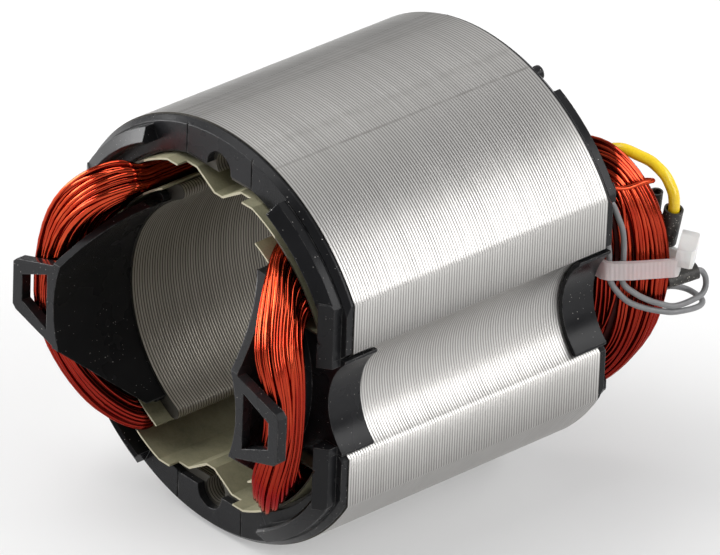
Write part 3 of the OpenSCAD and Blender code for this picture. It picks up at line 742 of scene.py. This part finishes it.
# Ends of the coils: they bulge past the overhang, and their upper halves can flare or be narrower
FRONT_END_R = 37.45
REAR_END_R = 38.8
CoilEnd = namedtuple("CoilEnd", "side overhang outer_r bulge upper_boxiness lower_boxiness flare narrowing")
FRONT = (-1, FRONT_OVERHANG, FRONT_END_R)
REAR = (1, REAR_OVERHANG, REAR_END_R)
RIGHT_FRONT = CoilEnd(*FRONT, bulge=5.5, upper_boxiness=1.5, lower_boxiness=1.35, flare=0, narrowing=6)
LEFT_FRONT = CoilEnd(*FRONT, bulge=0.6, upper_boxiness=2.8, lower_boxiness=1.6, flare=1.3, narrowing=0)
RIGHT_REAR = CoilEnd(*REAR, bulge=0, upper_boxiness=1.95, lower_boxiness=2.3, flare=0, narrowing=8)
LEFT_REAR = CoilEnd(*REAR, bulge=0, upper_boxiness=2.3, lower_boxiness=2.3, flare=0, narrowing=0)


def signed_power(x, p):
    return math.copysign(abs(x) ** p, x)


def ease(h, start, end):
    """0 before start and 1 after end, with a smooth rise between."""
    t = min(1, max(0, (h - start) / (end - start)))
    return t * t * (3 - 2 * t)


def loop_point(angle, reach, boxiness, a):
    """Angle and height of a point on a loop that is rounder or boxier than an ellipse."""
    return (angle * signed_power(math.cos(a), 2 / boxiness),
            reach * signed_power(max(0, math.sin(a)), 2 / boxiness))


def coil_point(a, across, rise, depth, end):
    """Point of a winding: a runs round the end loop, across and rise from -1 to 1 over its section."""
    upper = a < math.pi / 2
    inner = loop_point(COIL_INNER_ANGLE, COIL_INNER_REACH, INNER_BOXINESS, a)
    edge = COIL_EDGE_ANGLE - (end.narrowing if upper else 0)
    widen = (edge - COIL_SLOT_ANGLE) * ease(min(a, math.pi - a), 0, WIDEN_ANGLE)
    boxiness = end.upper_boxiness if upper else end.lower_boxiness
    free = loop_point(COIL_SLOT_ANGLE + widen, end.overhang + end.bulge, boxiness, a)
    held = (1 - ease(abs(free[0]), *BULGE_ANGLES)) * max(0, free[1] - end.overhang)
    outer = (free[0], free[1] - held)
    span = math.hypot(math.radians(outer[0] - inner[0]) * COIL_MID_R, outer[1] - inner[1]) / 2
    b = math.atan2(rise, across)
    boxed = abs(math.cos(b)) ** SECTION_BOXINESS + abs(math.sin(b)) ** SECTION_BOXINESS
    round_off = boxed ** (-1 / SECTION_BOXINESS)
    part = 0.5 + 0.5 * round_off * math.cos(b) * (1 - depth / span)
    angle = math.radians(inner[0] + (outer[0] - inner[0]) * part)
    h = max(0, inner[1] + (outer[1] - inner[1]) * part)
    spread = ease(h, COIL_INNER_REACH, SPREAD_END)
    in_r = COIL_SLOT_IN + (COIL_END_IN - COIL_SLOT_IN) * spread
    wedge = COIL_WEDGE * (1 - part) * max(0, math.sin(a)) ** WEDGE_POWER
    flare = end.flare * ease(free[0], *FLARE_ANGLES) if upper else 0
    flared = flare * ease(h, COIL_INNER_REACH, COIL_INNER_REACH + FLARE_LENGTH)
    out_r = COIL_SLOT_OUT + (end.outer_r - COIL_SLOT_OUT) * spread - wedge + flared
    r = (in_r + out_r) / 2 + ((out_r - in_r) / 2 - depth) * round_off * math.sin(b)
    return Vector((r * math.cos(angle), end.side * (HALF_LENGTH + h), r * math.sin(angle)))


# Wires of the coils: how many lie along the sides of the section, and how far every other one is sunk
WIRE_R = 0.46
WIRE_SIDES = 8
END_STEPS = 56
SMOOTHING = 5
WIDE_WIRES = 13
TALL_WIRES = 7
LOOSE_WIRES = 22
SINK = 0.3
CORE_DEPTH = 2 * WIRE_R + 0.5
CORE_SIDES = 24

# Share of a turn at which each end loop starts, and the share that it takes
LOOP_START = 0.08
LOOP_SHARE = 0.34

# Sway of a wire: its waves to a turn, how fast they fall off, and the ranges of their height and slant
WAVES = (1, 2, 3, 5)
WAVE_FALL = 0.7
WAVE_RANGE = (0.4, 1)
SLANT_RANGE = (-1, 0.4)

# Painted light on a wire: how far a point has to look out of the coil to lose its painted shade, and the
# range of the wires' tones
PAINTED_LIGHT_RANGE = (-0.3, 0.85)
WIRE_TONES = (0.6, 1.15)

# Layers of wire: depth of their middle line, sway and slant in wires, lift in millimetres, and painted light,
# which is lower on the second layer as painted shade under the top one
Layer = namedtuple("Layer", "depth sway lift slant light")
TOP_LAYER = Layer(depth=WIRE_R + 0.05, sway=0.5, lift=0.2, slant=0, light=1)
# The second layer is darkened by painted shade
SECOND_LAYER = Layer(depth=WIRE_R + 0.7, sway=0.3, lift=0.16, slant=0, light=0.7)
LOOSE_LAYER = Layer(depth=WIRE_R - 0.2, sway=1.6, lift=0.12, slant=3.4, light=1)

# Seat of a wire in the section: its place from -1 to 1, the step to its neighbour, and how deep it is sunk
Seat = namedtuple("Seat", "across rise across_step rise_step sunk")


def loop_angles():
    """Angles round one end loop, closer together where it leaves the slots."""
    return [math.pi / 2 * (1 - math.cos(math.pi * i / END_STEPS)) for i in range(END_STEPS + 1)]


def wander(size):
    """Slow periodic sway of one wire against its neighbours."""
    waves = []
    for k in WAVES:
        height = size / k ** WAVE_FALL * rng.uniform(*WAVE_RANGE)
        phase = rng.uniform(0, 2 * math.pi)
        waves.append((k, height, phase))
    return lambda s: sum(height * math.sin(2 * math.pi * k * s + phase) for k, height, phase in waves)


def at_rest(s):
    """Sway of a line that keeps to its seat."""
    return 0


def wire_seats(wide, tall):
    """Seats of wires that lie side by side round the section."""
    seats = []
    for i in range(wide):
        p = -1 + (2 * i + 1) / wide
        for edge in (1, -1):
            seats.append(Seat(p, edge, 2 / wide, 0, SINK * (i % 2)))
    for j in range(tall):
        q = -1 + (2 * j + 1) / tall
        for edge in (1, -1):
            seats.append(Seat(edge, q, 0, 2 / tall, SINK * (j % 2)))
    return seats


def relaxed(path):
    """Path with its sudden bends eased out between its fixed ends."""
    for _ in range(SMOOTHING):
        eased = [(a + 2 * b + c) / 4 for a, b, c in zip(path, path[1:], path[2:])]
        path = [path[0], *eased, path[-1]]
    return path


def wire_path(seat, depth, sway, lift, slant, front, rear):
    """Middle line of one turn of wire, with the way out of the coil at each of its points."""
    path = []
    outward = []
    angles = loop_angles()
    for run, end, start in ((angles, front, 0.0), (angles[::-1], rear, 0.5)):
        loop = []
        for i, a in enumerate(run):
            s = start + LOOP_START + LOOP_SHARE * i / END_STEPS
            shift = sway(s) + slant * math.cos(math.pi * i / END_STEPS)
            across = max(-1, min(1, seat.across + seat.across_step * shift))
            rise = max(-1, min(1, seat.rise + seat.rise_step * shift))
            inset = depth + seat.sunk + max(0, lift(s))
            here = coil_point(a, across, rise, inset, end)
            deeper = coil_point(a, across, rise, inset + 1, end)
            loop.append(here)
            outward.append((here - deeper).normalized())
        path += relaxed(loop)
    return path, outward


def core_mesh(front, rear):
    """Filling of a coil under its wires, dark with painted shade where deeper wires lie in shade."""
    lines = []
    for k in range(CORE_SIDES):
        turn = 2 * math.pi * k / CORE_SIDES
        seat = Seat(math.cos(turn), math.sin(turn), 0, 0, 0)
        lines.append(wire_path(seat, CORE_DEPTH, at_rest, at_rest, 0, front, rear)[0])
    points = [p for ring in zip(*lines) for p in ring]
    faces = []
    for a in range(0, len(points), CORE_SIDES):
        b = (a + CORE_SIDES) % len(points)
        for k in range(CORE_SIDES):
            m = (k + 1) % CORE_SIDES
            faces.append((a + k, a + m, b + m, b + k))
    return points, faces


def painted_light_values(wire_points, path, outward, tone):
    """Painted light on each point of a wire, which fades into painted shade away from the side that looks out
    of the coil.
    """
    values = []
    for i, p in enumerate(wire_points):
        ring = i // WIRE_SIDES
        facing = (p - path[ring]).dot(outward[ring]) / WIRE_R
        values.append(tone * ease(facing, *PAINTED_LIGHT_RANGE))
    return values


def set_painted_light(piece, values):
    piece.data.attributes.new(PAINTED_LIGHT_ATTRIBUTE, "FLOAT", "POINT").data.foreach_set("value", values)


def make_coil(name, node, front, rear, mirrored):
    looks = [ENAMEL, CORE_PAINTED_SHADE]
    points, faces = core_mesh(front, rear)
    face_looks = [looks.index(CORE_PAINTED_SHADE)] * len(faces)
    # Painted light of each point: none on the core, and on the wires painted shade away from their outer side
    painted_light = [0] * len(points)
    all_seats = wire_seats(WIDE_WIRES, TALL_WIRES)
    layers = [
        (TOP_LAYER, all_seats),
        (SECOND_LAYER, wire_seats(WIDE_WIRES - 1, TALL_WIRES)),
        (LOOSE_LAYER, rng.sample(all_seats, LOOSE_WIRES)),
    ]
    for layer, seats in layers:
        for seat in seats:
            sway = wander(layer.sway)
            lift = wander(layer.lift)
            slant = layer.slant * rng.uniform(*SLANT_RANGE)
            path, outward = wire_path(seat, layer.depth, sway, lift, slant, front, rear)
            wire_points, wire_faces = tube(path, WIRE_R, WIRE_SIDES, True)
            first = len(points)
            points += wire_points
            faces += [tuple(first + v for v in f) for f in wire_faces]
            # Each wire's painted light: its layer's share, with painted shade on the second layer, times a
            # tone drawn at random
            painted_light += painted_light_values(wire_points, path, outward, layer.light * tone_rng.uniform(*WIRE_TONES))
    face_looks += [looks.index(ENAMEL)] * (len(faces) - len(face_looks))
    if mirrored:
        points = [Vector((-p.x, p.y, p.z)) for p in points]
        faces = [tuple(reversed(f)) for f in faces]
    coil = mesh_piece(name, points, faces, looks, face_looks)
    set_painted_light(coil, painted_light)
    place(coil, "enamelled_wire", node)


make_coil("winding_right", "right_field_coil", RIGHT_FRONT, RIGHT_REAR, False)
make_coil("winding_left", "left_field_coil", LEFT_FRONT, LEFT_REAR, True)


# Single turn of wire bound across the right coil's rear end, its free end closer in than the solid's
BINDING_TURN = [
    (-1.4, 33.1, 0.31), (-1, 32.2, 0.37), (-0.4, 31, 0.47), (0.2, 30.7, 0.58), (0.3, 30.5, 0.7),
    (-0.6, 29.8, 0.86), (-2.7, 30.2, 0.868), (-5.2, 30.7, 0.868),
]
BINDING_R = 0.5
BINDING_SIDES = 12


def make_binding():
    """Wire through points given by their way out, their angle and their share of the overhang."""
    points = []
    for out, angle, share in BINDING_TURN:
        r = REAR_END_R + out
        turn = math.radians(angle)
        y = HALF_LENGTH + share * REAR_OVERHANG
        points.append(Vector((r * math.cos(turn), y, r * math.sin(turn))))
    wire = mesh_piece("binding_wire", *tube(smooth_path(points), BINDING_R, BINDING_SIDES, False), [ENAMEL])
    # The binding turn gets full painted light, with no painted shade on it
    set_painted_light(wire, [1] * len(wire.data.vertices))
    place(wire, "enamelled_wire", "coil_binding_turn")


make_binding()


# Floor, which glows a little where it is looked at, in metres
FLOOR_SIZE = 6.0
FLOOR_COLOUR = (0.66, 0.66, 0.66, 1)
FLOOR_GLOW = 0.2

# Lamps aimed at the middle of the part: place and size in metres, and power in watts
LAMPS = (
    ("side", (0.66, 0.59, 0.46), (1.1, 0.42), 6.0),
    ("overhead", (-0.35, -0.35, 0.95), (0.9, 0.9), 7.8),
    ("sky", (-0.45, 0.78, 0.94), (2.0, 1.4), 4.8),
    ("front_left", (-0.9, -0.63, 0.2), (0.9, 0.44), 14.0),
    ("right", (0.96, 0.13, 0.24), (0.4, 0.4), 2.4),
)
WORLD_STRENGTH = 0.2


def make_floor():
    half = FLOOR_SIZE / 2 / MM
    z = min(cad_low.z / MM, -STACK_R)
    n = Nodes("floor")
    rays = n.add("ShaderNodeLightPath")
    seen = n.maths("MAXIMUM", rays.outputs["Is Camera Ray"], rays.outputs["Is Glossy Ray"])
    seen = n.maths("MAXIMUM", seen, rays.outputs["Is Transmission Ray"])
    n.set(Base_Color=FLOOR_COLOUR, Roughness=0.9, Specular_IOR_Level=0.0)
    n.set(Emission_Color=WHITE, Emission_Strength=n.maths("MULTIPLY", seen, FLOOR_GLOW))
    corners = [(-half, -half, z), (half, -half, z), (half, half, z), (-half, half, z)]
    floor = mesh_piece("floor", corners, [(0, 1, 2, 3)], [n.material], smooth=False)


def area_light(name, location, size, power):
    data = bpy.data.lights.new(name, "AREA")
    data.shape = "RECTANGLE"
    data.size = size[0]
    data.size_y = size[1]
    data.energy = power
    lamp = bpy.data.objects.new(name, data)
    lamp.location = location
    lamp.rotation_euler = (-Vector(location)).to_track_quat("-Z", "Y").to_euler()
    bpy.context.scene.collection.objects.link(lamp)


def make_world():
    world = bpy.data.worlds.new("studio")
    world.use_nodes = True
    background = world.node_tree.nodes["Background"]
    background.inputs["Color"].default_value = WHITE
    background.inputs["Strength"].default_value = WORLD_STRENGTH
    bpy.context.scene.world = world
    bpy.context.scene.view_settings.view_transform = "Standard"


make_floor()
for lamp_values in LAMPS:
    area_light(*lamp_values)
make_world()


# Finishes of the solids that show as they are, with the sharp edges of the mouldings rounded
SOFT_EDGE = 0.4
SOFT_SEGMENTS = 3
SHARP_ANGLE = math.radians(40)
MOULDINGS = ("front_end_frame", "rear_end_frame")
FINISHES = (
    (PLASTIC, MOULDINGS),
    (FIBRE, ("upper_slot_liner", "lower_slot_liner")),
    (BRAID, ("yellow_lead_sleeve", "coil_tail_sleeve", "grey_lead_sleeve")),
    (TIN, ("yellow_lead_crimp", "coil_tail_crimp", "grey_lead_crimp")),
    (NYLON, ("cable_tie",)),
)


def dress(node, material):
    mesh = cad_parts[node].data
    mesh.materials.clear()
    mesh.materials.append(material)


def soften(node):
    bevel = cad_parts[node].modifiers.new("soft_edges", "BEVEL")
    bevel.width = SOFT_EDGE * MM
    bevel.segments = SOFT_SEGMENTS
    bevel.limit_method = "ANGLE"
    bevel.angle_limit = SHARP_ANGLE
    bevel.use_clamp_overlap = True


for material, nodes in FINISHES:
    for node in nodes:
        dress(node, material)
for node in MOULDINGS:
    soften(node)
